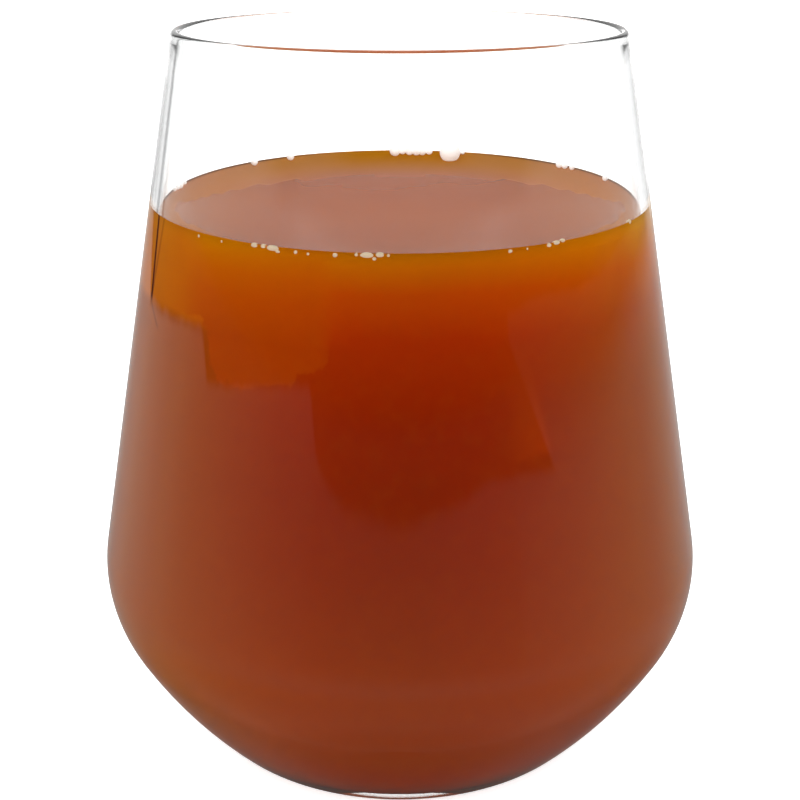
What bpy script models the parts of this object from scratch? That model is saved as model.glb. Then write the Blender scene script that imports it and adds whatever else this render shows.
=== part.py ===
"""A stemless tumbler of clear glass, filled with a dark, cloudy orange juice.

Metres, +Z up. The tumbler stands on the XY plane and Z is its axis. It is turned: every
section is the same, so each piece is an outline spun round Z. The juice is solid up to its
level, climbs a little up the wall, and carries the bubbles that gather along its edge.
"""
import math
import random
from collections import namedtuple

import bmesh
import bpy

# Outside of the glass. A lean is the wall's angle from the vertical, outwards positive.
HEIGHT = 0.1088
RIM_RADIUS = 0.0325
WALL_LEAN = math.radians(10.4)
SHOULDER_RADIUS = 0.0216
SHOULDER_END_LEAN = math.radians(-28.3)
BOWL_RADIUS = 0.0800
BOWL_END_LEAN = math.radians(-42.6)
CORNER_RADIUS = 0.0029
PUNT_RADIUS = 0.0265
PUNT_DEPTH = 0.0012

# Wall thickness at the rim and at the height of the floor, and the inside's own sizes.
RIM_WALL = 0.0012
FOOT_WALL = 0.0024
FLOOR_HEIGHT = 0.0035
FLOOR_CURVE_RADIUS = 0.0130
LIP_RADIUS = 0.00070
LIP_HEIGHT = 0.0015

# Juice. The edge is where it meets the glass, and the level is the flat middle below it.
EDGE_DROP = 0.0243
CLIMB = 0.0014
CLIMB_REACH = 0.0016
GAP = 0.0003

# Bubbles along the juice's edge. Each row is a group: the first and last place round the
# axis in degrees from +X, how many there are, and their smallest and largest radius.
BUBBLE_GROUPS = (
    (76.0, 76.0, 1, 0.0018, 0.0018),
    (81.5, 91.5, 5, 0.0007, 0.0010),
    (122.7, 134.6, 2, 0.0006, 0.0007),
    (167.0, 173.0, 3, 0.0004, 0.0006),
    (19.4, 19.4, 1, 0.0005, 0.0005),
    (36.2, 40.2, 2, 0.0005, 0.0008),
    (-25.3, -25.3, 1, 0.0004, 0.0004),
    (-57.7, -54.1, 2, 0.0004, 0.0005),
    (-68.0, -63.4, 2, 0.0003, 0.0003),
    (-99.2, -92.6, 5, 0.0003, 0.0005),
    (-111.8, -103.1, 3, 0.0003, 0.0003),
    (-121.5, -116.4, 3, 0.0004, 0.0006),
    (-137.3, -130.5, 2, 0.0003, 0.0003),
)
# In a bubble's own radii: how far its middle lies from the juice's edge, at least and at
# most, and how far it sinks into the surface.
BUBBLE_NEAR = 1.25
BUBBLE_FAR = 1.60
BUBBLE_SINK = 0.15
BUBBLE_SEED = 7

# Faces. The rings are shares of the punt's radius and of the juice's climb reach.
SIDES = 64
PUNT_RINGS = (0.0, 0.4, 0.75, 1.0)
CLIMB_RINGS = (4.5, 2.0, 1.0, 0.4)
ARC_STEP = math.radians(8)
LIP_STEPS = 6
BUBBLE_SIDES = 8
BUBBLE_RINGS = 5
SHARP_ANGLE = math.radians(35)
LEVEL_LEAN = math.radians(-90)
MERGE = 1e-6

# Colour, roughness and how much light passes.
GLASS_FINISH = ((0.93, 0.95, 0.95), 0.02, 1.0)
JUICE_FINISH = ((0.22, 0.035, 0.006), 0.18, 0.0)

Station = namedtuple("Station", "radius height lean")


def clear_scene():
    for item in list(bpy.data.objects):
        bpy.data.objects.remove(item, do_unlink=True)


def finish(name, values):
    colour, roughness, clearness = values
    material = bpy.data.materials.new(name)
    material.use_nodes = True
    shader = material.node_tree.nodes["Principled BSDF"]
    shader.inputs["Base Color"].default_value = (*colour, 1.0)
    shader.inputs["Roughness"].default_value = roughness
    shader.inputs["Metallic"].default_value = 0.0
    shader.inputs["Transmission Weight"].default_value = clearness
    material.diffuse_color = (*colour, 1.0)
    return material


def arc(start, radius, end_lean):
    """Stations along an arc that goes down from start and turns to end_lean."""
    turn = end_lean - start.lean
    steps = max(2, math.ceil(abs(turn) / ARC_STEP))
    stations = []
    for step in range(1, steps + 1):
        lean = start.lean + turn * step / steps
        stations.append(Station(
            start.radius + radius * (math.cos(lean) - math.cos(start.lean)),
            start.height + radius * (math.sin(lean) - math.sin(start.lean)),
            lean))
    return stations


def shifted(station, distance):
    """The station moved inwards, square to the wall."""
    return Station(station.radius - distance * math.cos(station.lean),
                   station.height - distance * math.sin(station.lean),
                   station.lean)


def outside():
    """The outer wall, from the rim down to the ring that it stands on."""
    wall_end = (SHOULDER_RADIUS * (math.sin(WALL_LEAN) - math.sin(SHOULDER_END_LEAN))
                + BOWL_RADIUS * (math.sin(SHOULDER_END_LEAN) - math.sin(BOWL_END_LEAN))
                + CORNER_RADIUS * (math.sin(BOWL_END_LEAN) + 1))
    stations = [Station(RIM_RADIUS, HEIGHT, WALL_LEAN)]
    for height in (HEIGHT - LIP_HEIGHT, HEIGHT - EDGE_DROP, wall_end):
        radius = RIM_RADIUS + (HEIGHT - height) * math.tan(WALL_LEAN)
        stations.append(Station(radius, height, WALL_LEAN))
    stations += arc(stations[-1], SHOULDER_RADIUS, SHOULDER_END_LEAN)
    stations += arc(stations[-1], BOWL_RADIUS, BOWL_END_LEAN)
    stations += arc(stations[-1], CORNER_RADIUS, LEVEL_LEAN)
    return stations


def wall_thickness(height):
    """Evenly thicker from the rim down to the floor."""
    share = (HEIGHT - height) / (HEIGHT - FLOOR_HEIGHT)
    return RIM_WALL + min(share, 1.0) * (FOOT_WALL - RIM_WALL)


def between(upper, lower, share):
    return Station(*(a + share * (b - a) for a, b in zip(upper, lower)))


def height_to_spare(station):
    """How far above the floor a curve from here would end, once it has turned level."""
    return station.height - FLOOR_CURVE_RADIUS * (1 + math.sin(station.lean)) - FLOOR_HEIGHT


def inside():
    """The inner wall, from the rim down, with a round turn into the flat floor."""
    wall = [shifted(station, wall_thickness(station.height)) for station in outside()]
    stations = wall[:1]
    for upper, lower in zip(wall, wall[1:]):
        if height_to_spare(lower) < 0:
            spare = height_to_spare(upper)
            stations.append(between(upper, lower, spare / (spare - height_to_spare(lower))))
            break
        stations.append(lower)
    return stations + arc(stations[-1], FLOOR_CURVE_RADIUS, LEVEL_LEAN)


def at_height(stations, height):
    """The place on a wall at a height, between two of its stations."""
    for upper, lower in zip(stations, stations[1:]):
        if lower.height <= height <= upper.height:
            return between(upper, lower, (upper.height - height) / (upper.height - lower.height))
    raise ValueError("the wall doesn't reach that height")


def spin(name, outline, material):
    """A closed piece: the outline, from the axis round to the axis, turned about Z."""
    work = bmesh.new()
    points = [work.verts.new((radius, 0.0, height)) for radius, height in outline]
    edges = [work.edges.new(pair) for pair in zip(points, points[1:])]
    bmesh.ops.spin(work, geom=points + edges, cent=(0, 0, 0), axis=(0, 0, 1),
                   angle=math.tau, steps=SIDES, use_merge=True)
    bmesh.ops.remove_doubles(work, verts=work.verts, dist=MERGE)
    bmesh.ops.recalc_face_normals(work, faces=work.faces)
    mesh = bpy.data.meshes.new(name)
    work.to_mesh(mesh)
    work.free()
    mesh.materials.append(material)
    mesh.shade_smooth()
    mesh.set_sharp_from_angle(angle=SHARP_ANGLE)
    piece = bpy.data.objects.new(name, mesh)
    bpy.context.scene.collection.objects.link(piece)
    return piece


def lip(outer, inner):
    """The rounded bead over the top of the wall, from its outer side to its inner side."""
    middle = (outer.radius + inner.radius) / 2
    centre = HEIGHT - LIP_RADIUS
    turns = [math.pi * step / LIP_STEPS for step in range(LIP_STEPS + 1)]
    return [(middle + LIP_RADIUS * math.cos(turn), centre + LIP_RADIUS * math.sin(turn))
            for turn in turns]


def punt():
    """The shallow hollow under the base, from its middle out to the ring that stands."""
    return [(PUNT_RADIUS * part, PUNT_DEPTH * (1 - part ** 2)) for part in PUNT_RINGS]


def make_glass():
    outer = outside()
    inner = inside()
    outer_wall = [(station.radius, station.height) for station in reversed(outer[1:])]
    inner_wall = [(station.radius, station.height) for station in inner[1:]]
    outline = (punt() + outer_wall + lip(outer[0], inner[0]) + inner_wall
               + [(0.0, inner[-1].height)])
    return spin("glass", outline, finish("clear_glass", GLASS_FINISH))


def juice_top(distance):
    """Height of the juice's surface at a distance from the wall."""
    return HEIGHT - EDGE_DROP - CLIMB * (1 - math.exp(-distance / CLIMB_REACH))


def juice_wall():
    """The juice's side, from its edge down to the floor, a gap inside the glass."""
    wall = inside()
    edge = at_height(wall, HEIGHT - EDGE_DROP)
    below = [station for station in wall if station.height < edge.height - MERGE]
    return [shifted(station, GAP) for station in [edge] + below]


def make_juice_body(material):
    wall = juice_wall()
    edge = wall[0]
    distances = [CLIMB_REACH * part for part in CLIMB_RINGS]
    top = [(0.0, juice_top(edge.radius))]
    top += [(edge.radius - distance, juice_top(distance)) for distance in distances]
    side = [(station.radius, station.height) for station in wall]
    return spin("juice", top + side + [(0.0, wall[-1].height)], material)


def bubble_places():
    """Angle, radius and centre of each bubble, spread along its group with a little play."""
    draw = random.Random(BUBBLE_SEED)
    edge = juice_wall()[0].radius
    for first, last, count, small, large in BUBBLE_GROUPS:
        for number in range(count):
            share = number / (count - 1) if count > 1 else 0.0
            angle = math.radians(first + share * (last - first))
            size = draw.uniform(small, large)
            distance = size * draw.uniform(BUBBLE_NEAR, BUBBLE_FAR)
            height = juice_top(distance) - BUBBLE_SINK * size
            yield angle, size, (math.cos(angle) * (edge - distance),
                                math.sin(angle) * (edge - distance), height)


def make_bubbles(material):
    """Small round bubbles in a collection of their own, ready to be joined to the juice."""
    bubbles = bpy.data.collections.new("bubbles")
    bpy.context.scene.collection.children.link(bubbles)
    for number, (angle, size, centre) in enumerate(bubble_places()):
        work = bmesh.new()
        bmesh.ops.create_uvsphere(work, u_segments=BUBBLE_SIDES, v_segments=BUBBLE_RINGS,
                                  radius=size)
        mesh = bpy.data.meshes.new(f"bubble_{number}")
        work.to_mesh(mesh)
        work.free()
        mesh.materials.append(material)
        bubble = bpy.data.objects.new(mesh.name, mesh)
        bubble.location = centre
        bubble.rotation_euler = (0.0, 0.0, angle)
        bubbles.objects.link(bubble)
    return bubbles


def join(piece, collection):
    """One union of the piece with all that the collection holds, applied, then cleared away."""
    union = piece.modifiers.new("union", "BOOLEAN")
    union.operation = "UNION"
    union.operand_type = "COLLECTION"
    union.collection = collection
    bpy.context.view_layer.update()
    evaluated = piece.evaluated_get(bpy.context.evaluated_depsgraph_get())
    joined = bpy.data.meshes.new_from_object(evaluated)
    joined.name = piece.name
    piece.modifiers.clear()
    piece.data = joined
    for item in list(collection.objects):
        bpy.data.objects.remove(item, do_unlink=True)
    bpy.data.collections.remove(collection)


def make_juice():
    material = finish("orange_juice", JUICE_FINISH)
    juice = make_juice_body(material)
    join(juice, make_bubbles(material))
    return juice


def main():
    clear_scene()
    make_glass()
    make_juice()


main()
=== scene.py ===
"""The looks of a glass of orange juice: a turned tumbler, cloudy juice, bubbles and a studio.

Metres, +Z up. The tumbler stands on the XY plane, Z is its axis, and the camera is at -Y.
"""
import math
import random
from collections import namedtuple

import bpy
from bpy.props import FloatProperty, FloatVectorProperty, IntProperty, PointerProperty
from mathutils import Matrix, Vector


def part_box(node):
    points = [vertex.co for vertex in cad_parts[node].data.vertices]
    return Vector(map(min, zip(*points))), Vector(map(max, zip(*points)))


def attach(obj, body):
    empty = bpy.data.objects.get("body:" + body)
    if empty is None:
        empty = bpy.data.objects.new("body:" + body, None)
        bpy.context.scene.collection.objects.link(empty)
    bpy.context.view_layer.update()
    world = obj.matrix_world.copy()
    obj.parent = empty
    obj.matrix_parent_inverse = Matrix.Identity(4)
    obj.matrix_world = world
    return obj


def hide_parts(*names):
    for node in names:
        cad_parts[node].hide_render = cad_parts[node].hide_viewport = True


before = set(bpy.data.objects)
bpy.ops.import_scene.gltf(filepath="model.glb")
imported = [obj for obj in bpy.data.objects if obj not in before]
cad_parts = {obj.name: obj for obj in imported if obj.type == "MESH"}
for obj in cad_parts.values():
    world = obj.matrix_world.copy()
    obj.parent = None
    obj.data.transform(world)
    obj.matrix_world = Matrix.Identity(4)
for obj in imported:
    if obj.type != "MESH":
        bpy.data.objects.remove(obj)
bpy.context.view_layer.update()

bl_info = {
    "name": "Glass of Juice",
    "version": (1, 0, 0),
    "blender": (4, 5, 0),
    "location": "3D View > Sidebar > Juice",
    "description": "Builds a stemless tumbler filled with cloudy orange juice",
    "category": "Object",
}

MM = 0.001
TURN_STEPS = 256
ARC_STEP = math.radians(2)
LIP_STEPS = 16
MERGE = 1e-6
LEVEL_LEAN = math.radians(-90)
BODY = "root"

Station = namedtuple("Station", "radius height lean")


class TumblerSizes(bpy.types.PropertyGroup):
    """The turned glass: its outside, wall, lip and base"""

    height: FloatProperty(name="Height", description="From the table to the rim",
                          default=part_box("glass")[1].z, unit="LENGTH")
    rim_radius: FloatProperty(name="Rim radius", description="Outside, at the rim",
                              default=32.5 * MM, unit="LENGTH")
    wall_lean: FloatProperty(name="Wall lean", description="Straight wall, from the vertical",
                             default=math.radians(10.4), subtype="ANGLE")
    shoulder_radius: FloatProperty(name="Shoulder radius", description="Arc of the belly",
                                   default=21.6 * MM, unit="LENGTH")
    shoulder_lean: FloatProperty(name="Shoulder lean", description="Where the shoulder ends",
                                 default=math.radians(-28.3), subtype="ANGLE")
    bowl_radius: FloatProperty(name="Bowl radius", description="Arc below the shoulder",
                               default=80.0 * MM, unit="LENGTH")
    bowl_lean: FloatProperty(name="Bowl lean", description="Where the bowl meets the corner",
                             default=math.radians(-42.6), subtype="ANGLE")
    corner_radius: FloatProperty(name="Corner radius", description="Edge of the base",
                                 default=2.9 * MM, unit="LENGTH")
    punt_radius: FloatProperty(name="Punt radius", description="Hollow under the base",
                               default=26.5 * MM, unit="LENGTH")
    punt_depth: FloatProperty(name="Punt depth", description="Hollow under the base",
                              default=1.2 * MM, unit="LENGTH")
    rim_wall: FloatProperty(name="Rim wall", description="Wall thickness at the rim",
                            default=1.2 * MM, unit="LENGTH")
    foot_wall: FloatProperty(name="Foot wall", description="Wall thickness at the floor",
                             default=2.4 * MM, unit="LENGTH")
    floor_height: FloatProperty(name="Floor height", description="Inner floor, off the table",
                                default=3.5 * MM, unit="LENGTH")
    floor_curve: FloatProperty(name="Floor curve", description="Radius round the inner floor",
                               default=13.0 * MM, unit="LENGTH")
    lip_radius: FloatProperty(name="Lip radius", description="Rounded bead of the rim",
                              default=0.7 * MM, unit="LENGTH")
    lip_height: FloatProperty(name="Lip height", description="Where the bead joins the wall",
                              default=1.5 * MM, unit="LENGTH")


class JuiceSizes(bpy.types.PropertyGroup):
    """The juice's surface and the colours of its cloudy body, which hold painted light and shade"""

    edge_drop: FloatProperty(name="Edge drop", description="From the rim to the juice's edge",
                             default=24.3 * MM, unit="LENGTH")
    climb: FloatProperty(name="Climb", description="How far the edge climbs the wall",
                         default=1.4 * MM, unit="LENGTH")
    climb_reach: FloatProperty(name="Climb reach", description="How fast the climb fades",
                               default=1.6 * MM, unit="LENGTH")
    overlap: FloatProperty(name="Overlap", description="How far it reaches into the wall",
                           default=0.12 * MM, unit="LENGTH")
    surface: FloatVectorProperty(name="Surface", description="Colour seen from above",
                                 default=(0.340, 0.067, 0.006), subtype="COLOR", size=3)
    # Painted backlight: gold along the far edge of the surface, where light comes through from
    # behind.
    backlit_gold: FloatVectorProperty(name="Golden", description="Far edge of the surface",
                                default=(0.435, 0.160, 0.006), subtype="COLOR", size=3)
    backlit_gold_side: FloatVectorProperty(name="Golden side", description="The same, left and right",
                                     default=(0.445, 0.185, 0.045), subtype="COLOR", size=3)
    surface_side: FloatVectorProperty(name="Surface side", description="Surface at the sides",
                                      default=(0.470, 0.118, 0.006), subtype="COLOR", size=3)
    # Painted light and shade from band down to rim: orange right under the surface where light
    # comes in from above, dark red in the shaded middle of the near side, lighter at the foot to
    # make up for the floor's shade, and lighter and browner aside where light comes through from
    # behind.
    band: FloatVectorProperty(name="Band", description="Right under the surface",
                              default=(0.545, 0.134, 0.0005), subtype="COLOR", size=3)
    amber: FloatVectorProperty(name="Amber", description="Some millimetres under the surface",
                               default=(0.508, 0.065, 0.0005), subtype="COLOR", size=3)
    red: FloatVectorProperty(name="Red", description="Where the band fades",
                             default=(0.405, 0.030, 0.0005), subtype="COLOR", size=3)
    dark: FloatVectorProperty(name="Dark", description="Above the middle of the near side",
                              default=(0.301, 0.019, 0.0005), subtype="COLOR", size=3)
    core: FloatVectorProperty(name="Core", description="Darkest middle of the near side",
                              default=(0.268, 0.0194, 0.0005), subtype="COLOR", size=3)
    belly: FloatVectorProperty(name="Belly", description="Near side under the widest place",
                               default=(0.304, 0.042, 0.003), subtype="COLOR", size=3)
    foot: FloatVectorProperty(name="Foot", description="Along the floor",
                              default=(0.362, 0.044, 0.004), subtype="COLOR", size=3)
    side: FloatVectorProperty(name="Side", description="Left and right of the near side",
                              default=(0.376, 0.077, 0.001), subtype="COLOR", size=3)
    rim: FloatVectorProperty(name="Rim", description="Sides, right under the surface",
                             default=(0.600, 0.162, 0.0005), subtype="COLOR", size=3)
    # Painted reflection: what gloss would add over the matte edge, painted into its colour.
    painted_gloss: FloatVectorProperty(name="Haze", description="What gloss adds over the edge",
                              default=(0.018, 0.095, 0.112), subtype="COLOR", size=3)
    side_painted_gloss: FloatVectorProperty(name="Side haze", description="The same, half way aside",
                                   default=(0.070, 0.100, 0.090), subtype="COLOR", size=3)
    tip_painted_gloss: FloatVectorProperty(name="Tip haze", description="The same, left and right",
                                  default=(0.110, 0.105, 0.055), subtype="COLOR", size=3)
    # The fine pulp's own colour; in juice_body the same name also carries the colour of the painted
    # patch of light.
    pulp_and_lit_patch: FloatVectorProperty(name="Pulp", description="Fine pulp that floats in it",
                              default=(0.480, 0.120, 0.006), subtype="COLOR", size=3)


class BubbleSizes(bpy.types.PropertyGroup):
    """The bubbles along the juice's edge"""

    seed: IntProperty(name="Seed", description="Play in sizes and places", default=7)
    colour: FloatVectorProperty(name="Colour", description="Colour of the film",
                                default=(0.97, 0.95, 0.92), subtype="COLOR", size=3)
    # Painted shade: the pressed bubbles' film is darker and creamier than the floating ones', for
    # the less light in front.
    pressed: FloatVectorProperty(name="Pressed", description="Colour against the glass",
                                 default=(0.80, 0.66, 0.47), subtype="COLOR", size=3)


class StudioSizes(bpy.types.PropertyGroup):
    """Camera, floor and light"""

    distance: FloatProperty(name="Distance", description="Camera to the glass's axis",
                            default=200.0 * MM, unit="LENGTH")
    above_rim: FloatProperty(name="Above rim", description="Camera height over the rim",
                             default=17.38 * MM, unit="LENGTH")
    pitch: FloatProperty(name="Pitch", description="How far the camera looks down",
                         default=math.radians(20.41), subtype="ANGLE")
    lens: FloatProperty(name="Lens", description="Focal length in millimetres", default=60.83)
    floor_radius: FloatProperty(name="Floor radius", description="Size of the pale floor",
                                default=4.0, unit="LENGTH")
    brightness: FloatProperty(name="Brightness", description="Light of the white room",
                              default=1.6)
    floor_glow: FloatProperty(name="Floor glow", description="Lightens the floor's shadow",
                              default=0.60)


def new_piece(name):
    """Starts a piece from a small plane at the origin, merged to one point, in edit mode."""
    bpy.ops.object.select_all(action="DESELECT")
    bpy.ops.mesh.primitive_plane_add(size=MM, location=(0.0, 0.0, 0.0))
    piece = bpy.context.object
    piece.name = piece.data.name = name
    bpy.ops.object.mode_set(mode="EDIT")
    bpy.ops.mesh.select_all(action="SELECT")
    bpy.ops.mesh.merge(type="CENTER")
    return piece


def turn_piece(name, outline):
    """Draws the outline point by point by extruding, and spins it about Z."""
    piece = new_piece(name)
    first_radius, first_height = outline[0]
    bpy.ops.transform.translate(value=(first_radius, 0.0, first_height))
    for (radius, height), (next_radius, next_height) in zip(outline, outline[1:]):
        step = (next_radius - radius, 0.0, next_height - height)
        bpy.ops.mesh.extrude_region_move(TRANSFORM_OT_translate={"value": step})
    bpy.ops.mesh.select_all(action="SELECT")
    bpy.ops.mesh.spin(steps=TURN_STEPS, angle=math.tau, center=(0.0, 0.0, 0.0),
                      axis=(0.0, 0.0, 1.0))
    bpy.ops.mesh.select_all(action="SELECT")
    bpy.ops.mesh.remove_doubles(threshold=MERGE)
    bpy.ops.mesh.normals_make_consistent(inside=False)
    bpy.ops.object.mode_set(mode="OBJECT")
    bpy.ops.object.shade_smooth()
    return piece


def arc(start, radius, end_lean):
    """Stations along an arc that goes down from start and turns to end_lean."""
    turn = end_lean - start.lean
    steps = max(2, math.ceil(abs(turn) / ARC_STEP))
    stations = []
    for step in range(1, steps + 1):
        lean = start.lean + turn * step / steps
        stations.append(Station(
            start.radius + radius * (math.cos(lean) - math.cos(start.lean)),
            start.height + radius * (math.sin(lean) - math.sin(start.lean)),
            lean))
    return stations


def shifted(station, distance):
    """The station moved inwards, square to the wall."""
    return Station(station.radius - distance * math.cos(station.lean),
                   station.height - distance * math.sin(station.lean),
                   station.lean)


def outside(sizes):
    """The outer wall, from the rim down to the ring that it stands on."""
    wall_end = (sizes.shoulder_radius * (math.sin(sizes.wall_lean) - math.sin(sizes.shoulder_lean))
                + sizes.bowl_radius * (math.sin(sizes.shoulder_lean) - math.sin(sizes.bowl_lean))
                + sizes.corner_radius * (math.sin(sizes.bowl_lean) + 1))
    straight = sizes.height - wall_end
    drops = [0.0, sizes.lip_height] + [straight * step / 12 for step in range(1, 13)]
    stations = [Station(sizes.rim_radius + drop * math.tan(sizes.wall_lean),
                        sizes.height - drop, sizes.wall_lean) for drop in drops]
    stations += arc(stations[-1], sizes.shoulder_radius, sizes.shoulder_lean)
    stations += arc(stations[-1], sizes.bowl_radius, sizes.bowl_lean)
    stations += arc(stations[-1], sizes.corner_radius, LEVEL_LEAN)
    return stations


def wall_thickness(sizes, height):
    """Evenly thicker from the rim down to the floor."""
    share = (sizes.height - height) / (sizes.height - sizes.floor_height)
    return sizes.rim_wall + min(share, 1.0) * (sizes.foot_wall - sizes.rim_wall)


def between(upper, lower, share):
    return Station(*(a + share * (b - a) for a, b in zip(upper, lower)))


def inside(sizes):
    """The inner wall, from the rim down, with a round turn into the flat floor."""
    def height_to_spare(station):
        return (station.height - sizes.floor_curve * (1 + math.sin(station.lean))
                - sizes.floor_height)

    wall = [shifted(station, wall_thickness(sizes, station.height))
            for station in outside(sizes)]
    stations = wall[:1]
    for upper, lower in zip(wall, wall[1:]):
        if height_to_spare(lower) < 0:
            spare = height_to_spare(upper)
            stations.append(between(upper, lower, spare / (spare - height_to_spare(lower))))
            break
        stations.append(lower)
    return stations + arc(stations[-1], sizes.floor_curve, LEVEL_LEAN)


def at_height(stations, height):
    """The place on a wall at a height, between two of its stations."""
    for upper, lower in zip(stations, stations[1:]):
        if lower.height <= height <= upper.height:
            return between(upper, lower, (upper.height - height) / (upper.height - lower.height))
    raise ValueError("the wall doesn't reach that height")


def glass_outline(sizes):
    """From the middle of the underside round to the middle of the inner floor."""
    outer = outside(sizes)
    inner = inside(sizes)
    punt = [(sizes.punt_radius * part, sizes.punt_depth * (1 - part ** 2))
            for part in (0.0, 0.15, 0.3, 0.45, 0.6, 0.75, 0.9, 1.0)]
    middle = (outer[0].radius + inner[0].radius) / 2
    turns = [math.pi * step / LIP_STEPS for step in range(LIP_STEPS + 1)]
    lip = [(middle + sizes.lip_radius * math.cos(turn),
            sizes.height - sizes.lip_radius * (1 - math.sin(turn))) for turn in turns]
    outer_wall = [(station.radius, station.height) for station in reversed(outer[1:])]
    inner_wall = [(station.radius, station.height) for station in inner[1:]]
    floor = [(inner[-1].radius * part, inner[-1].height) for part in (0.66, 0.33, 0.0)]
    return punt + outer_wall + lip + inner_wall + floor


def juice_top(tumbler, juice, distance):
    """Height of the juice's surface at a distance from the wall."""
    fall = 1 - math.exp(-distance / juice.climb_reach)
    return tumbler.height - juice.edge_drop - juice.climb * fall


def juice_outline(tumbler, juice):
    """From the middle of the surface round to the middle of the juice's floor."""
    wall = inside(tumbler)
    edge = at_height(wall, tumbler.height - juice.edge_drop)
    reaches = [5.5, 4.5, 3.5, 2.8, 2.2, 1.7, 1.3, 1.0, 0.75, 0.55, 0.38, 0.24, 0.12, 0.0]
    distances = [juice.climb_reach * part for part in reaches]
    level = juice_top(tumbler, juice, distances[0])
    top = [(edge.radius * part, level) for part in (0.0, 0.25, 0.45, 0.55, 0.62, 0.69)]
    top += [(edge.radius - distance, juice_top(tumbler, juice, distance))
            for distance in distances]
    below = [station for station in wall if station.height < edge.height - MERGE]
    side = [shifted(station, -juice.overlap) for station in [edge] + below]
    floor = [(side[-1].radius * part, side[-1].height) for part in (0.66, 0.33, 0.0)]
    return top + [(station.radius, station.height) for station in side] + floor


def new_material(name):
    material = bpy.data.materials.new(name)
    material.use_nodes = True
    return material, material.node_tree, material.node_tree.nodes["Principled BSDF"]


def connect(tree, value, socket):
    """Links a socket, or sets a plain value."""
    if isinstance(value, bpy.types.NodeSocket):
        tree.links.new(value, socket)
    elif value is not None:
        socket.default_value = value


def calculate(tree, operation, *values):
    """One step of arithmetic on sockets or plain values."""
    step = tree.nodes.new("ShaderNodeMath")
    step.operation = operation
    for value, socket in zip(values, step.inputs):
        connect(tree, value, socket)
    return step.outputs[0]


def remap(tree, value, low, high, to_low=0.0, to_high=1.0, smooth=True):
    """Turns a value between low and high into one between to_low and to_high."""
    step = tree.nodes.new("ShaderNodeMapRange")
    step.interpolation_type = "SMOOTHSTEP" if smooth else "LINEAR"
    connect(tree, value, step.inputs["Value"])
    ends = {"From Min": low, "From Max": high, "To Min": to_low, "To Max": to_high}
    for name, number in ends.items():
        connect(tree, number, step.inputs[name])
    return step.outputs["Result"]


def blend(tree, share, first, second, kind="MIX"):
    """The first colour with a share of the second."""
    step = tree.nodes.new("ShaderNodeMix")
    step.data_type = "RGBA"
    step.blend_type = kind
    connect(tree, share, step.inputs["Factor"])
    for value, name in ((first, "A"), (second, "B")):
        socket = [s for s in step.inputs if s.name == name and s.type == "RGBA"][0]
        if isinstance(value, (tuple, list)):
            value = (*value[:3], 1.0)
        connect(tree, value, socket)
    return [s for s in step.outputs if s.type == "RGBA"][0]


def cloud(tree, place, scale, detail=3.0, roughness=0.5):
    """Soft noise from 0 to 1 on a place."""
    step = tree.nodes.new("ShaderNodeTexNoise")
    connect(tree, place, step.inputs["Vector"])
    step.inputs["Scale"].default_value = scale
    step.inputs["Detail"].default_value = detail
    step.inputs["Roughness"].default_value = roughness
    return step.outputs["Fac"]


def ramp(tree, value, stops):
    """Colours along a value from 0 to 1. A stop is its place and its colour."""
    step = tree.nodes.new("ShaderNodeValToRGB")
    connect(tree, value, step.inputs["Fac"])
    points = step.color_ramp.elements
    while len(points) < len(stops):
        points.new(0.5)
    for point, (place, colour) in zip(points, stops):
        point.position = place
        point.color = (*colour, 1.0)
    return step.outputs["Color"]


def object_place(tree):
    """The place on the piece, whole and as X, Y and Z."""
    place = tree.nodes.new("ShaderNodeTexCoord").outputs["Object"]
    parts = tree.nodes.new("ShaderNodeSeparateXYZ")
    tree.links.new(place, parts.inputs[0])
    return place, parts.outputs[0], parts.outputs[1], parts.outputs[2]


def clear_glass():
    """Polished clear glass with a very faint waviness from its making."""
    material, tree, shader = new_material("clear_glass")
    shader.inputs["Base Color"].default_value = (0.985, 0.99, 0.988, 1.0)
    shader.inputs["Roughness"].default_value = 0.0
    shader.inputs["IOR"].default_value = 1.5
    shader.inputs["Transmission Weight"].default_value = 1.0
    place, _, _, _ = object_place(tree)
    bump = tree.nodes.new("ShaderNodeBump")
    bump.inputs["Strength"].default_value = 0.12
    bump.inputs["Distance"].default_value = 0.2 * MM
    connect(tree, cloud(tree, place, 45.0, 1.0), bump.inputs["Height"])
    tree.links.new(bump.outputs["Normal"], shader.inputs["Normal"])
    return material


def mix_numbers(tree, share, first, second):
    """The first number with a share of the second."""
    step = tree.nodes.new("ShaderNodeMix")
    connect(tree, share, step.inputs["Factor"])
    connect(tree, first, step.inputs["A"])
    connect(tree, second, step.inputs["B"])
    return step.outputs["Result"]


def product(tree, *values):
    total = values[0]
    for value in values[1:]:
        total = calculate(tree, "MULTIPLY", total, value)
    return total


def turn_about_axis(tree, x, y):
    """The turn round Z in degrees, 0 towards -Y and positive towards +X."""
    turn = calculate(tree, "ARCTAN2", x, calculate(tree, "MULTIPLY", y, -1.0))
    return calculate(tree, "DEGREES", turn)


def line_mask(tree, value, middle, half):
    """1 on a soft thin line where the value is near its middle."""
    away = calculate(tree, "ABSOLUTE", calculate(tree, "SUBTRACT", value, middle))
    return remap(tree, away, half, 0.3 * half)


def tinted(tree, colour, tint):
    return blend(tree, 1.0, colour, tint, "MULTIPLY")


# Lower border of the painted patch of light on the left: turn in degrees and height in millimetres.
LIT_PATCH_BORDER = ((-59.5, 71.9), (-49.0, 73.3), (-43.8, 73.8), (-42.0, 72.0), (-40.6, 70.8),
                (-40.0, 68.2), (-38.6, 65.4), (-32.8, 65.8), (-26.1, 66.7), (-20.6, 67.2),
                (-19.8, 69.0), (-15.0, 69.5), (-13.5, 73.0), (-10.0, 80.0))
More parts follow.
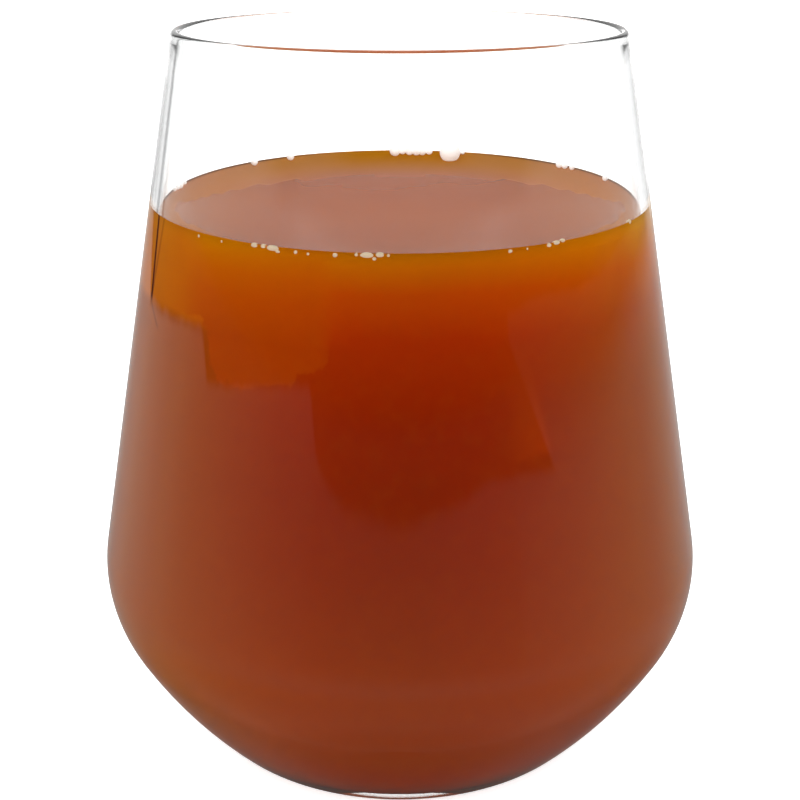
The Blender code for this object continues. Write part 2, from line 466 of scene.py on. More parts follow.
# A colour ramp holds only numbers from 0 to 1: the turns from -LIT_PATCH_SPAN up and the heights up
# to LIT_PATCH_TOP are scaled to that.
LIT_PATCH_SPAN = 60.0
LIT_PATCH_TOP = 0.1
# Its colours, between the first and the second of the heights.
LIT_PATCH_HEIGHTS = (72.0 * MM, 84.0 * MM)
LIT_PATCH_COLOURS = ((0.0, (0.452, 0.061, 0.0005)), (0.45, (0.530, 0.085, 0.0005)),
                 (0.72, (0.575, 0.120, 0.0005)), (1.0, (0.600, 0.180, 0.0005)))
# It is lighter at the first turn than at the second.
LIT_PATCH_TURNS = (-45.0, -18.0)
LIT_PATCH_TINTS = ((1.04, 1.12, 1.0), (0.96, 0.80, 1.0))


def lit_patch_mask(tree, turn, z, ragged):
    """A painted patch of light under the surface on the left, with a ragged lower border."""
    stops = [(place / LIT_PATCH_SPAN + 1.0, (height * MM / LIT_PATCH_TOP,) * 3)
             for place, height in LIT_PATCH_BORDER]
    shaken = calculate(tree, "ADD", turn, calculate(tree, "MULTIPLY", ragged, 1.2 / MM))
    place = calculate(tree, "ADD", calculate(tree, "DIVIDE", shaken, LIT_PATCH_SPAN), 1.0)
    border = calculate(tree, "MULTIPLY", ramp(tree, place, stops), LIT_PATCH_TOP)
    above = calculate(tree, "SUBTRACT", calculate(tree, "ADD", z, ragged), border)
    left_end = remap(tree, turn, -55.0, -41.0)
    right_end = remap(tree, shaken, -12.0, -16.5)
    return product(tree, remap(tree, above, -0.3 * MM, 0.4 * MM), left_end, right_end)


# The painted wedge of light: its lower end, the turn of its right side there, how many degrees
# that side goes back for each metre up, and where it fades in from the left and at the top.
WEDGE_LOW = 57.0 * MM
WEDGE_TURN = 29.4
WEDGE_SLANT = -0.29 / MM
WEDGE_LEFT = (19.0, 27.0)
WEDGE_TOP = (76.0 * MM, 66.0 * MM)
LIT_WEDGE_COLOUR = (0.385, 0.037, 0.0005)


def lit_wedge_mask(tree, turn, z, ragged):
    """A painted wedge of light right of the middle, wider towards its lower end."""
    above = calculate(tree, "ADD", z, ragged)
    height = calculate(tree, "SUBTRACT", above, WEDGE_LOW)
    side = calculate(tree, "ADD", calculate(tree, "MULTIPLY", height, WEDGE_SLANT), WEDGE_TURN)
    right = calculate(tree, "SUBTRACT", side, turn)
    return product(tree, remap(tree, right, -0.7, 0.9), remap(tree, turn, *WEDGE_LEFT),
                   remap(tree, above, WEDGE_LOW - 0.8 * MM, WEDGE_LOW + 1.2 * MM),
                   remap(tree, z, *WEDGE_TOP))


# The painted shade line: where it starts, its turn there in degrees, and how far it turns for
# each metre down. Below the kink it turns by the swerve more.
SHADE_LINE_TOP = 84.7 * MM
SHADE_LINE_TURN = -66.4
SHADE_LINE_SLANT = 0.115 / MM
SHADE_LINE_KINK = (72.6 * MM, 69.5 * MM)
SHADE_LINE_SWERVE = 5.0
# The painted highlight stripe and the second painted shade line beside it: turn away from it at the
# top and half width, both in degrees, share at the top, and colour. They close in and fade towards
# STRIPES_END.
SHADE_LINE_STRIPES = ((1.8, 1.0, 0.6, (0.62, 0.20, 0.010)), (3.6, 0.7, 0.4, (0.22, 0.035, 0.001)))
STRIPES_END = 73.0 * MM
SHADE_LINE_COLOUR = (0.10, 0.016, 0.001)


def painted_shade_line(tree, colour, turn, z):
    """A thin painted shade line that runs down from the edge on the left, with a painted highlight
    beside it.
    """
    down = calculate(tree, "SUBTRACT", SHADE_LINE_TOP, z)
    start = calculate(tree, "ADD", calculate(tree, "MULTIPLY", down, SHADE_LINE_SLANT), SHADE_LINE_TURN)
    swerve = remap(tree, z, *SHADE_LINE_KINK, 0.0, SHADE_LINE_SWERVE, smooth=False)
    start = calculate(tree, "ADD", start, swerve)
    away = calculate(tree, "SUBTRACT", turn, start)
    spread = remap(tree, z, STRIPES_END, 84.5 * MM, smooth=False)
    for apart, half, strength, shade in SHADE_LINE_STRIPES:
        middle = calculate(tree, "MULTIPLY", spread, apart)
        stripe = product(tree, line_mask(tree, away, middle, half),
                         remap(tree, z, STRIPES_END, STRIPES_END + 2.0 * MM, 0.0, strength))
        colour = blend(tree, stripe, colour, shade)
    paler_below = remap(tree, z, 72.4 * MM, 73.4 * MM, 0.35, 1.0)
    lower_end = remap(tree, z, 69.3 * MM, 70.0 * MM)
    line = product(tree, line_mask(tree, away, 0.0, 0.9), paler_below, lower_end)
    return blend(tree, line, colour, SHADE_LINE_COLOUR)


# Colours of the near side, from the floor at 0 to the edge at 1, painted light and shade: orange
# right under the surface where light comes in from above, dark red in the shaded middle, and
# lighter at the foot to make up for the floor's shade. A name is one of the juice's colours.
FRONT_COLOURS = (
    (0.06, "foot"), (0.13, (0.340, 0.051, 0.004)), (0.22, "belly"), (0.29, "belly"),
    (0.50, (0.274, 0.0245, 0.0005)), (0.62, "core"), (0.735, "dark"), (0.868, "red"),
    (0.937, "amber"), (0.978, "band"), (1.00, (0.50, 0.148, 0.0005)),
)
# The sides, left and right, painted light: lighter and browner where light comes through from
# behind, and bright orange right under the surface.
LEFT_COLOURS = (
    (0.05, (0.430, 0.090, 0.004)), (0.17, (0.410, 0.110, 0.003)), (0.32, "side"),
    (0.848, "side"), (0.866, (0.58, 0.135, 0.0005)), (1.0, "rim"),
)
RIGHT_COLOURS = (
    (0.05, "foot"), (0.20, "side"), (0.76, "side"), (0.86, (0.450, 0.082, 0.0005)),
    (0.935, (0.60, 0.127, 0.0005)), (1.0, (0.68, 0.237, 0.0005)),
)
# Where left turns into right, across the middle.
LEFT_TO_RIGHT = (-20.0 * MM, 25.0 * MM)
# Turns away from the middle, in degrees: where the colour of the sides comes in, where the
# sides get lighter as painted light, where they do once more along the outline, and where that ends
# behind.
SIDE_TURNS = (5.0, 50.0)
OUTER_TURNS = (52.0, 67.0)
OUTLINE_TURNS = (70.0, 84.0)
BACK_TURNS = (135.0, 100.0)
# Tints of painted light, left and right: lighter towards the outline, and the whole left a little
# lighter than the right.
OUTER_TINTS = ((1.08, 1.30, 1.0), (1.08, 1.46, 1.0))
WHOLE_TINTS = ((1.03, 1.05, 1.0), (0.98, 0.90, 1.0))
OUTLINE_TINT = (1.12, 1.35, 1.0)
NO_TINT = (1.0, 1.0, 1.0)


def juice_ramp(tree, juice, value, stops):
    """A ramp whose colours may be named after those in the juice's sizes."""
    return ramp(tree, value, [
        (place, tuple(getattr(juice, colour)) if isinstance(colour, str) else colour)
        for place, colour in stops])


def front_to_side(tree, sideways, front, aside):
    """From the front's colour to the side's, where green comes in later than red."""
    reds = tree.nodes.new("ShaderNodeSeparateColor")
    greens = tree.nodes.new("ShaderNodeSeparateColor")
    both = tree.nodes.new("ShaderNodeCombineColor")
    tree.links.new(blend(tree, sideways, front, aside), reds.inputs[0])
    tree.links.new(blend(tree, product(tree, sideways, sideways), front, aside), greens.inputs[0])
    for source, channel in ((reds, 0), (greens, 1), (greens, 2)):
        tree.links.new(source.outputs[channel], both.inputs[channel])
    return both.outputs[0]


def juice_body(juice, low, high):
    """Cloudy juice against glass, its colour painted with light and shade: orange under the surface
    where light comes in from above, dark red in the shaded front, browner and lighter aside where
    light comes through from behind.
    """
    material, tree, shader = new_material("juice_against_glass")
    place, x, y, z = object_place(tree)
    turn = turn_about_axis(tree, x, y)
    drift = calculate(tree, "SUBTRACT", cloud(tree, place, 28.0, 3.0, 0.55), 0.5)
    ragged = calculate(tree, "SUBTRACT", cloud(tree, place, 230.0, 5.0, 0.7), 0.5)
    ragged = calculate(tree, "MULTIPLY", ragged, 5.0 * MM)
    share = remap(tree, z, low, high, smooth=False)
    share = calculate(tree, "ADD", share, calculate(tree, "MULTIPLY", drift, 0.02))
    front = juice_ramp(tree, juice, share, FRONT_COLOURS)
    left = juice_ramp(tree, juice, share, LEFT_COLOURS)
    right = juice_ramp(tree, juice, share, RIGHT_COLOURS)
    rightness = remap(tree, x, *LEFT_TO_RIGHT)
    away = calculate(tree, "ADD", calculate(tree, "ABSOLUTE", turn),
                     calculate(tree, "MULTIPLY", drift, 8.0))
    in_front = remap(tree, away, *BACK_TURNS)
    # Painted light: the sides lighter towards the outline, where light comes through from behind.
    outer = blend(tree, product(tree, remap(tree, away, *OUTER_TURNS), in_front), NO_TINT,
                  blend(tree, rightness, *OUTER_TINTS))
    outline = blend(tree, product(tree, remap(tree, away, *OUTLINE_TURNS), in_front), NO_TINT,
                    OUTLINE_TINT)
    aside = tinted(tree, blend(tree, rightness, left, right), tinted(tree, outer, outline))
    sideways = remap(tree, away, *SIDE_TURNS, smooth=False)
    colour = front_to_side(tree, sideways, front, aside)
    # Painted light: the left a little lighter than the right.
    colour = tinted(tree, colour, blend(tree, rightness, *WHOLE_TINTS))
    # A painted patch of light under the surface on the left.
    pulp_and_lit_patch = ramp(tree, remap(tree, z, *LIT_PATCH_HEIGHTS, smooth=False), LIT_PATCH_COLOURS)
    lit_patch_tint = blend(tree, remap(tree, turn, *LIT_PATCH_TURNS, smooth=False), *LIT_PATCH_TINTS)
    colour = blend(tree, lit_patch_mask(tree, turn, z, ragged), colour, tinted(tree, pulp_and_lit_patch, lit_patch_tint))
    # A painted wedge of light right of the middle.
    colour = blend(tree, lit_wedge_mask(tree, turn, z, ragged), colour, LIT_WEDGE_COLOUR)
    # A painted shade line on the left, with a painted highlight stripe beside it.
    colour = painted_shade_line(tree, colour, turn, z)
    fine = cloud(tree, place, 420.0, 3.0, 0.6)
    colour = blend(tree, remap(tree, fine, 0.4, 0.8, 0.0, 0.05), colour, tuple(juice.pulp_and_lit_patch))
    tree.links.new(colour, shader.inputs["Base Color"])
    shader.inputs["Roughness"].default_value = 0.6
    shader.inputs["Specular IOR Level"].default_value = 0.0
    return material


# How far from its far edge the surface is matte and painted gold, as painted backlight.
EDGE_ZONE = 15.0 * MM
# Elsewhere it is matte where it climbs: where the upright part of its normal is under
# STEEP_BEHIND behind RING_BEHIND, a share of the edge's radius, and under more towards the
# camera, over RING_LENGTH.
RING_BEHIND = 0.35
RING_LENGTH = 0.85
STEEP_BEHIND = 0.95
STEEPER_IN_FRONT = 0.047
# Painted reflection: what gloss adds over the matte part, painted into its colour, by the share of
# the edge's radius left or right.
PAINTED_GLOSS_COLOURS = ((0.30, "painted_gloss"), (0.58, "side_painted_gloss"), (0.83, "tip_painted_gloss"))
# A thin painted shade line where the surface meets the far glass.
CONTACT_SHADE_LINE = (0.10, 0.035, 0.012)


def distance_behind(tree, x, edge_radius):
    """How far back the surface's edge lies at a place left or right."""
    square = calculate(tree, "SUBTRACT", edge_radius ** 2, calculate(tree, "MULTIPLY", x, x))
    return calculate(tree, "SQRT", calculate(tree, "MAXIMUM", square, 0.0))


def is_matte(face, edge_radius):
    """Whether a face of the surface is in the zone painted gold as backlight, or in the ring that
    climbs.
    """
    x, y, _ = face.center
    if y > 0 and math.sqrt(max(edge_radius ** 2 - x ** 2, 0.0)) - y < EDGE_ZONE:
        return True
    near = min(max(RING_BEHIND - y / edge_radius, 0.0) / RING_LENGTH, 1.0)
    return face.normal.z < STEEP_BEHIND + STEEPER_IN_FRONT * near


def wet_colour(tree, juice, aside, base):
    return blend(tree, remap(tree, aside, 12.0 * MM, 38.0 * MM), base, tuple(juice.surface_side))


def matte_colour(tree, juice, x, y, aside, base, edge_radius):
    """Painted backlight gold along the far edge, painted reflection of gloss elsewhere, with a thin
    painted shade line at the far glass.
    """
    painted_gloss = juice_ramp(tree, juice, calculate(tree, "DIVIDE", aside, edge_radius), PAINTED_GLOSS_COLOURS)
    gold = blend(tree, remap(tree, aside, 6.0 * MM, 16.0 * MM), tuple(juice.backlit_gold),
                 tuple(juice.backlit_gold_side))
    behind = calculate(tree, "SUBTRACT", distance_behind(tree, x, edge_radius), y)
    backlit_gold = product(tree, remap(tree, behind, EDGE_ZONE + MM, 1.0 * MM, smooth=False),
                     remap(tree, aside, 34.0 * MM, 20.0 * MM),
                     remap(tree, y, 0.0, 8.0 * MM))
    colour = blend(tree, backlit_gold, blend(tree, 1.0, base, painted_gloss, "ADD"), gold)
    radius = calculate(tree, "SQRT", calculate(
        tree, "ADD", calculate(tree, "MULTIPLY", x, x), calculate(tree, "MULTIPLY", y, y)))
    line = product(tree, remap(tree, radius, edge_radius - 0.5 * MM, edge_radius - 0.25 * MM),
                   remap(tree, aside, 10.0 * MM, 24.0 * MM, 0.0, 0.8),
                   remap(tree, y, -8.0 * MM, 0.0))
    return blend(tree, line, colour, CONTACT_SHADE_LINE)


def juice_surface(juice, edge_radius, wet):
    """The open surface, painted gold along the far edge as painted backlight, where light comes
    through.

    It is wet and glossy, but matte where it climbs the wall.
    """
    material, tree, shader = new_material("juice_surface" if wet else "juice_edge")
    place, x, y, _ = object_place(tree)
    aside = calculate(tree, "ABSOLUTE", x)
    drift = cloud(tree, place, 60.0, 3.0, 0.5)
    base = blend(tree, remap(tree, drift, 0.3, 0.7, 0.0, 0.10), tuple(juice.surface),
                 tuple(juice.pulp_and_lit_patch))
    if wet:
        colour = wet_colour(tree, juice, aside, base)
    else:
        colour = matte_colour(tree, juice, x, y, aside, base, edge_radius)
        shader.inputs["Specular IOR Level"].default_value = 0.0
    tree.links.new(colour, shader.inputs["Base Color"])
    shader.inputs["Roughness"].default_value = 0.04 if wet else 0.6
    shader.inputs["IOR"].default_value = 1.35
    return material


def bubble_film(name, colour, gloss, glow):
    """A pale film with soft shades; its glow is painted light."""
    material, tree, shader = new_material(name)
    place, _, _, _ = object_place(tree)
    shade = remap(tree, cloud(tree, place, 900.0, 2.0), 0.3, 0.7)
    paler = tuple(min(1.0, 1.06 * part) for part in colour)
    tree.links.new(blend(tree, shade, tuple(colour), paler), shader.inputs["Base Color"])
    shader.inputs["Roughness"].default_value = 0.12
    shader.inputs["IOR"].default_value = 1.33
    shader.inputs["Specular IOR Level"].default_value = gloss
    shader.inputs["Emission Color"].default_value = (1.0, 1.0, 1.0, 1.0)
    shader.inputs["Emission Strength"].default_value = glow
    return material


class MakeTumbler(bpy.types.Operator):
    """Turn the glass: an even wall with a rounded lip, a thick floor and a hollow underneath"""

    bl_idname = "juice_glass.make_tumbler"
    bl_label = "Make Tumbler"

    def execute(self, context):
        piece = turn_piece("tumbler", glass_outline(context.scene.tumbler_sizes))
        piece.data.materials.append(clear_glass())
        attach(piece, BODY)
        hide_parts("glass")
        return {"FINISHED"}


class PourJuice(bpy.types.Operator):
    """Turn the juice up to its level, with the edge that climbs the wall"""

    bl_idname = "juice_glass.pour_juice"
    bl_label = "Pour Juice"

    def execute(self, context):
        tumbler = context.scene.tumbler_sizes
        juice = context.scene.juice_sizes
        outline = juice_outline(tumbler, juice)
        piece = turn_piece("juice_body", outline)
        level, low, high = outline[0][1], outline[-1][1], tumbler.height - juice.edge_drop
        edge = max(radius for radius, height in outline if height > high - 0.01 * MM)
        piece.data.materials.append(juice_body(juice, low, high))
        piece.data.materials.append(juice_surface(juice, edge, True))
        piece.data.materials.append(juice_surface(juice, edge, False))
        for face in piece.data.polygons:
            if face.center.z > level - 0.05 * MM and face.normal.z > 0.5:
                face.material_index = 2 if is_matte(face, edge) else 1
        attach(piece, BODY)
        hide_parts("juice")
        return {"FINISHED"}


# Bubbles that float along the far edge. Each row is a group: the first and last place round
# the axis in degrees from +X, how many there are, and their smallest and largest radius in
# millimetres.
FLOATING_BUBBLES = (
    (75.2, 75.2, 1, 1.80, 1.80),
    (81.5, 91.5, 6, 0.6, 1.0),
    (72.0, 73.0, 2, 0.3, 0.5),
    (122.7, 134.6, 2, 0.6, 0.7),
    (166.0, 174.0, 5, 0.25, 0.55),
    (19.4, 19.4, 1, 0.5, 0.5),
    (35.5, 40.2, 3, 0.4, 0.7),
)

# Bubbles pressed against the glass under the near edge: turn from -Y in degrees, width and
# height in millimetres, and how far the middle lies under the edge.
PRESSED_BUBBLES = (
    (-47.1, 0.55, 0.50, 0.50), (-39.8, 0.40, 0.40, 0.45), (-31.1, 1.15, 0.65, 0.25),
    (-28.9, 0.85, 0.55, 0.20), (-26.6, 1.95, 0.85, 0.35), (-25.4, 0.80, 0.45, 0.60),
    (-21.4, 0.60, 0.55, 0.45), (-18.7, 0.45, 0.45, 0.50), (-13.0, 0.75, 0.65, 0.45),
    (-8.7, 0.55, 0.50, 0.25), (-6.6, 1.90, 0.80, 0.35), (-5.1, 0.60, 0.55, 0.70),
    (-4.0, 1.20, 0.70, 0.25), (-2.3, 0.45, 0.45, 0.25), (22.7, 0.70, 0.55, 0.40),
    (26.6, 0.35, 0.35, 0.30), (31.9, 0.85, 0.60, 0.30), (33.9, 1.20, 0.55, 0.15),
    (35.6, 0.80, 0.45, 0.00), (59.5, 0.95, 0.70, 0.10),
)


def join_parts(parts, name, material):
    """Joins ready-made parts to one piece whose place is in its mesh."""
    bpy.ops.object.select_all(action="DESELECT")
    for part in parts:
        part.select_set(True)
    bpy.context.view_layer.objects.active = parts[0]
    bpy.ops.object.join()
    piece = bpy.context.object
    piece.name = piece.data.name = name
    bpy.ops.object.transform_apply(location=True, rotation=True, scale=True)
    bpy.ops.object.shade_smooth()
    piece.data.materials.append(material)
    return piece


class ScatterBubbles(bpy.types.Operator):
    """Blow the bubbles that float where the far side of the juice meets the glass"""

    bl_idname = "juice_glass.scatter_bubbles"
    bl_label = "Scatter Bubbles"

    def execute(self, context):
        tumbler = context.scene.tumbler_sizes
        juice = context.scene.juice_sizes
        bubble = context.scene.bubble_sizes
        draw = random.Random(bubble.seed)
        edge = at_height(inside(tumbler), tumbler.height - juice.edge_drop)
        bpy.ops.object.select_all(action="DESELECT")
        made = []
        for first, last, count, small, large in FLOATING_BUBBLES:
            for number in range(count):
                share = number / (count - 1) if count > 1 else 0.0
                angle = math.radians(first + share * (last - first) + draw.uniform(-0.3, 0.3))
                size = draw.uniform(small, large) * MM
                distance = size * 0.92
                height = edge.height + 0.10 * size
                place = (math.cos(angle) * (edge.radius - distance),
                         math.sin(angle) * (edge.radius - distance), height)
                bpy.ops.mesh.primitive_uv_sphere_add(segments=20, ring_count=12, radius=size,
                                                     location=place)
                made.append(context.object)
        # The floating bubbles glow a little: painted light that keeps them white.
        piece = join_parts(made, "bubbles", bubble_film("bubble_film", bubble.colour, 0.2, 0.30))
        piece.visible_glossy = False
        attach(piece, BODY)
        return {"FINISHED"}


class PressBubbles(bpy.types.Operator):
    """Press the bubbles against the glass under the near edge, flattened by it"""

    bl_idname = "juice_glass.press_bubbles"
    bl_label = "Press Bubbles"

    def execute(self, context):
        tumbler = context.scene.tumbler_sizes
        juice = context.scene.juice_sizes
        bubble = context.scene.bubble_sizes
        wall = inside(tumbler)
        edge_height = tumbler.height - juice.edge_drop
        depth = 0.30 * MM
        proud = juice.overlap + 0.10 * MM
        bpy.ops.object.select_all(action="DESELECT")
        made = []
        for turn, width, height, drop in PRESSED_BUBBLES:
            station = at_height(wall, edge_height - drop * MM)
            radius = station.radius + proud - depth
            angle = math.radians(turn)
            bpy.ops.mesh.primitive_uv_sphere_add(
                segments=16, ring_count=10, radius=1.0, rotation=(tumbler.wall_lean, 0.0, angle),
                location=(radius * math.sin(angle), -radius * math.cos(angle), station.height),
                scale=(0.56 * width * MM, depth, 0.56 * height * MM))
            made.append(context.object)
        # Painted shade: the pressed bubbles get a darker, creamier film than the floating ones.
        piece = join_parts(made, "pressed_bubbles",
                           bubble_film("pressed_film", bubble.pressed, 0.0, 0.0))
        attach(piece, BODY)
        return {"FINISHED"}


def first_mirroring(tree):
    """1 where a surface is seen in a gloss, before any soft bounce, and 0 elsewhere."""
    path = tree.nodes.new("ShaderNodeLightPath").outputs
    return calculate(tree, "MULTIPLY",
                     calculate(tree, "GREATER_THAN", path["Glossy Depth"], 0.5),
                     calculate(tree, "LESS_THAN", path["Diffuse Depth"], 0.5))


def seen_through(tree):
    """1 for what is seen directly or through the clear glass, and 0 elsewhere."""
    path = tree.nodes.new("ShaderNodeLightPath").outputs
    through = calculate(tree, "MULTIPLY", path["Is Transmission Ray"],
                        calculate(tree, "LESS_THAN", path["Diffuse Depth"], 0.5))
    return calculate(tree, "MAXIMUM", path["Is Camera Ray"], through)


# The room that the gloss shows, round the glass: a turn in degrees, 0 towards the camera and
# positive to its right, the sine of the height where the pale ground begins there, how
# softly it begins, and how bright it is. In front, a dark panel hides it further down.
MIRRORED_ROOM = (
    (-180.0, 0.000, 0.02, 0.80), (-164.0, -0.050, 0.02, 0.60), (-154.0, -0.090, 0.02, 0.46),
    (-146.0, -0.130, 0.02, 0.42), (-134.0, -0.157, 0.016, 0.50), (-116.0, -0.116, 0.014, 0.52),
    (-98.0, -0.072, 0.014, 0.46), (-89.0, -0.054, 0.014, 0.40), (-84.0, -0.080, 0.014, 0.38),
    (-64.0, -0.038, 0.014, 0.33), (-48.0, -0.012, 0.014, 0.26), (-36.0, 0.004, 0.016, 0.23),
    (-32.0, -0.045, 0.02, 0.20), (-22.0, -0.063, 0.03, 0.19), (0.0, -0.070, 0.03, 0.18),
    (34.0, -0.060, 0.02, 0.21), (44.0, -0.070, 0.02, 0.22), (45.0, 0.045, 0.17, 0.26),
    (60.0, 0.036, 0.17, 0.31), (82.0, -0.005, 0.15, 0.35), (94.0, -0.025, 0.13, 0.33),
    (110.0, -0.045, 0.09, 0.33), (131.0, -0.085, 0.07, 0.41), (141.0, -0.095, 0.07, 0.46),
    (152.0, -0.070, 0.07, 0.56), (180.0, 0.000, 0.07, 0.64),
)
# Added to the heights in a colour ramp, which holds no numbers below 0.
RAMP_LIFT = 0.3

# Brightness round the glass of what the clear wall mirrors inside itself.
WALL_LIGHT = (
    (-180.0, 1.40), (-160.0, 1.40), (-147.5, 1.40), (-145.5, 0.50),
    (-143.5, 0.50), (-141.5, 1.20), (-137.6, 1.20), (-136.6, 0.30), (-135.4, 0.30),
    (-134.4, 1.10), (0.0, 1.0), (130.0, 1.1), (145.0, 1.5), (180.0, 1.5),
)


def mirrored_ground(tree, way, turn, near, z):
    """The pale ground that the gloss shows, up to where the room or the dark panel begins."""
    stops = [(place / 360.0 + 0.5, (height + RAMP_LIFT, softness, light))
             for place, height, softness, light in MIRRORED_ROOM]
    place = calculate(tree, "ADD", calculate(tree, "DIVIDE", turn, 360.0), 0.5)
    parts = tree.nodes.new("ShaderNodeSeparateColor")
    tree.links.new(ramp(tree, place, stops), parts.inputs[0])
    height, softness, light = parts.outputs[:3]
    ragged = calculate(tree, "MULTIPLY_ADD", cloud(tree, way, 14.0), 0.012, -0.006 - RAMP_LIFT)
    height = calculate(tree, "ADD", height, ragged)
    below = remap(tree, z, height, calculate(tree, "SUBTRACT", height, softness))
    abrupt = remap(tree, z, height, calculate(tree, "SUBTRACT", height, 0.012), 0.0, 0.33)
    below = calculate(tree, "MAXIMUM", below, abrupt)
    behind = product(tree, remap(tree, near, -0.1, -0.7, 0.0, 0.50), remap(tree, z, -0.52, -0.75))
    steep = product(tree, remap(tree, z, -0.85, -1.0, 0.335, 0.17),
                    calculate(tree, "SUBTRACT", 1.0, behind))
    light = mix_numbers(tree, remap(tree, z, -0.2, -0.55), light, steep)
    line = calculate(tree, "MULTIPLY_ADD", turn, -0.0073, 0.346)
    foot = calculate(tree, "MULTIPLY_ADD", turn, -0.00136, -0.0187)
    arm = product(tree, remap(tree, calculate(tree, "SUBTRACT", z, line), 0.006, -0.006),
                  remap(tree, calculate(tree, "SUBTRACT", z, foot), -0.008, 0.008),
                  remap(tree, turn, 30.0, 33.0))
    return product(tree, below, light, calculate(tree, "SUBTRACT", 1.0, arm))


def mirrored_room(tree):
    """How bright the room is that the gloss shows, or the clear wall mirrors inside, and 1
    where it is warm from the juice's own light on the ground."""
    way = tree.nodes.new("ShaderNodeTexCoord").outputs["Generated"]
    parts = tree.nodes.new("ShaderNodeSeparateXYZ")
    tree.links.new(way, parts.inputs[0])
    x, y, z = parts.outputs[:3]
    turn = turn_about_axis(tree, x, y)
    near = calculate(tree, "COSINE", calculate(tree, "RADIANS", turn))
    ground = mirrored_ground(tree, way, turn, near, z)
    back = product(tree, remap(tree, near, -0.65, -0.95),
                   remap(tree, calculate(tree, "ABSOLUTE", x), 0.079, 0.11, 0.475, 0.345),
                   remap(tree, z, 0.04, 0.10, 0.5, 1.0), remap(tree, z, -0.06, 0.0))
    dark = remap(tree, z, 0.0, -0.03, 0.012, 0.05)
    room = calculate(tree, "MAXIMUM", calculate(tree, "MAXIMUM", ground, back), dark)
    path = tree.nodes.new("ShaderNodeLightPath").outputs
    through = calculate(tree, "GREATER_THAN", path["Transmission Depth"], 0.5)
    outline = product(tree, remap(tree, near, -0.85, -0.96), remap(tree, z, -0.20, -0.15, 0.0, 0.9),
                      calculate(tree, "SUBTRACT", 1.0, through))
    flank = product(tree, outline, remap(tree, z, 0.12, 0.05),
                    remap(tree, x, -0.05, 0.05, 1.5, 2.4))
    room = calculate(tree, "MAXIMUM", calculate(tree, "MAXIMUM", room, outline), flank)
    place = calculate(tree, "ADD", calculate(tree, "DIVIDE", turn, 360.0), 0.5)
    wall = ramp(tree, place, [(at / 360.0 + 0.5, (light,) * 3) for at, light in WALL_LIGHT])
    over_juice = product(tree, remap(tree, z, 0.08, 0.12), remap(tree, near, -0.75, -0.85),
                         remap(tree, z, 0.62, 0.52))
    facing = product(tree, remap(tree, z, 0.06, 0.10), remap(tree, z, 0.40, 0.30),
                     remap(tree, near, 0.25, 0.60))
    inside_wall = product(tree, calculate(tree, "SUBTRACT", 1.0, over_juice),
                          calculate(tree, "SUBTRACT", 1.0, facing), through)
    return mix_numbers(tree, inside_wall, room, wall), remap(tree, z, -0.45, -0.65)


def studio_world(brightness):
    """A white room. What the gloss shows of it is darker, so that the surfaces read."""
    world = bpy.data.worlds.new("white_room")
    world.use_nodes = True
    tree = world.node_tree
    mirroring = first_mirroring(tree)
    room, warm = mirrored_room(tree)
    light = tree.nodes["Background"]
    tree.links.new(mix_numbers(tree, mirroring, brightness, room), light.inputs["Strength"])
    tree.links.new(blend(tree, calculate(tree, "MULTIPLY", mirroring, warm), (1.0, 1.0, 1.0),
                         (1.0, 0.74, 0.66)), light.inputs["Color"])
    bpy.context.scene.world = world


def floor_paper(glow):
    """Pale paper with a fine grain, which glows a little where it is seen, so that its shadow
    is faint, and which a gloss doesn't show."""
    material, tree, shader = new_material("floor_paper")
    place, _, _, _ = object_place(tree)
    grain = cloud(tree, place, 900.0, 2.0)
    tree.links.new(blend(tree, grain, (0.93, 0.93, 0.93), (0.95, 0.95, 0.95)),
                   shader.inputs["Base Color"])
    shader.inputs["Roughness"].default_value = 0.9
    shader.inputs["Specular IOR Level"].default_value = 0.0
    shader.inputs["Emission Color"].default_value = (1.0, 1.0, 1.0, 1.0)
    tree.links.new(calculate(tree, "MULTIPLY", seen_through(tree), glow),
                   shader.inputs["Emission Strength"])
    hidden = tree.nodes.new("ShaderNodeBsdfTransparent")
    either = tree.nodes.new("ShaderNodeMixShader")
    tree.links.new(first_mirroring(tree), either.inputs[0])
    tree.links.new(shader.outputs[0], either.inputs[1])
    tree.links.new(hidden.outputs[0], either.inputs[2])
    tree.links.new(either.outputs[0], tree.nodes["Material Output"].inputs["Surface"])
    return material


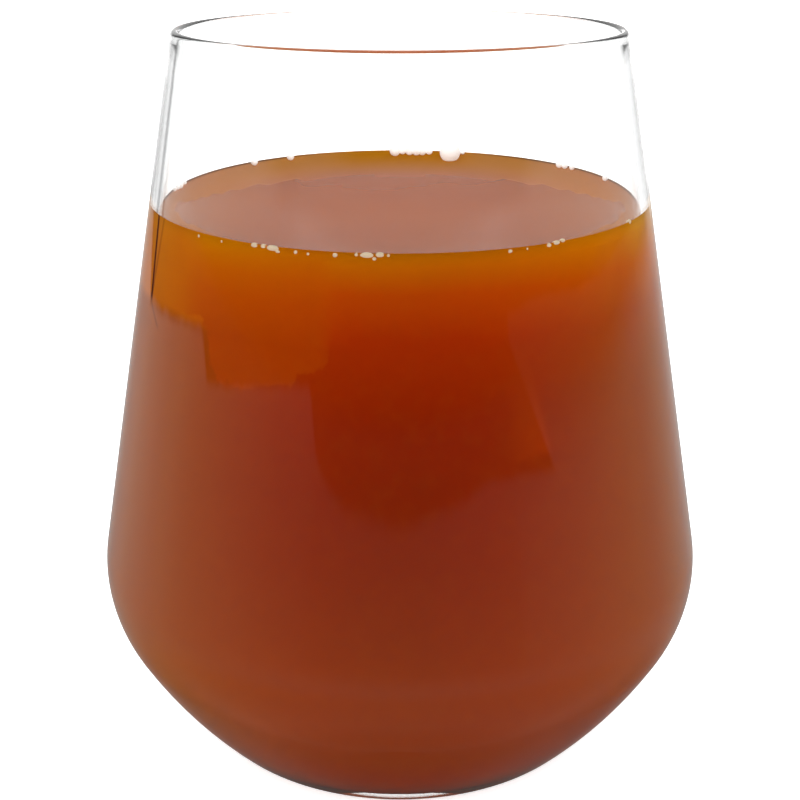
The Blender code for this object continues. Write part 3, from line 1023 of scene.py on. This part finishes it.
class SetStage(bpy.types.Operator):
    """Set the pale floor, the white room and the camera"""

    bl_idname = "juice_glass.set_stage"
    bl_label = "Set Stage"

    def execute(self, context):
        studio = context.scene.studio_sizes
        tumbler = context.scene.tumbler_sizes
        bpy.ops.object.select_all(action="DESELECT")
        bpy.ops.mesh.primitive_circle_add(vertices=96, radius=studio.floor_radius,
                                          fill_type="NGON", location=(0.0, 0.0, 0.0))
        floor = context.object
        floor.name = floor.data.name = "floor"
        floor.data.materials.append(floor_paper(studio.floor_glow))
        studio_world(studio.brightness)
        bpy.ops.object.camera_add(
            location=(0.0, -studio.distance, tumbler.height + studio.above_rim),
            rotation=(math.radians(90) - studio.pitch, 0.0, 0.0))
        camera = context.object
        camera.data.lens = studio.lens
        camera.data.clip_start = 0.01
        context.scene.camera = camera
        context.scene.view_settings.view_transform = "Standard"
        return {"FINISHED"}


class JuicePanel(bpy.types.Panel):
    """Steps that build the glass of juice"""

    bl_idname = "VIEW3D_PT_juice_glass"
    bl_label = "Glass of Juice"
    bl_space_type = "VIEW_3D"
    bl_region_type = "UI"
    bl_category = "Juice"

    def draw(self, context):
        for step in STEPS:
            self.layout.operator(step.bl_idname)
        for name in SIZES:
            group = getattr(context.scene, name)
            box = self.layout.box()
            for size in group.bl_rna.properties:
                if size.identifier not in {"name", "rna_type"}:
                    box.prop(group, size.identifier)


SIZES = {
    "tumbler_sizes": TumblerSizes,
    "juice_sizes": JuiceSizes,
    "bubble_sizes": BubbleSizes,
    "studio_sizes": StudioSizes,
}
STEPS = (MakeTumbler, PourJuice, ScatterBubbles, PressBubbles, SetStage)


def register():
    for part in (*SIZES.values(), *STEPS, JuicePanel):
        bpy.utils.register_class(part)
    for name, group in SIZES.items():
        setattr(bpy.types.Scene, name, PointerProperty(type=group))


def unregister():
    for name in SIZES:
        delattr(bpy.types.Scene, name)
    for part in reversed((*SIZES.values(), *STEPS, JuicePanel)):
        bpy.utils.unregister_class(part)


def main():
    register()
    bpy.ops.juice_glass.make_tumbler()
    bpy.ops.juice_glass.pour_juice()
    bpy.ops.juice_glass.scatter_bubbles()
    bpy.ops.juice_glass.press_bubbles()
    bpy.ops.juice_glass.set_stage()


if __name__ == "__main__":
    main()
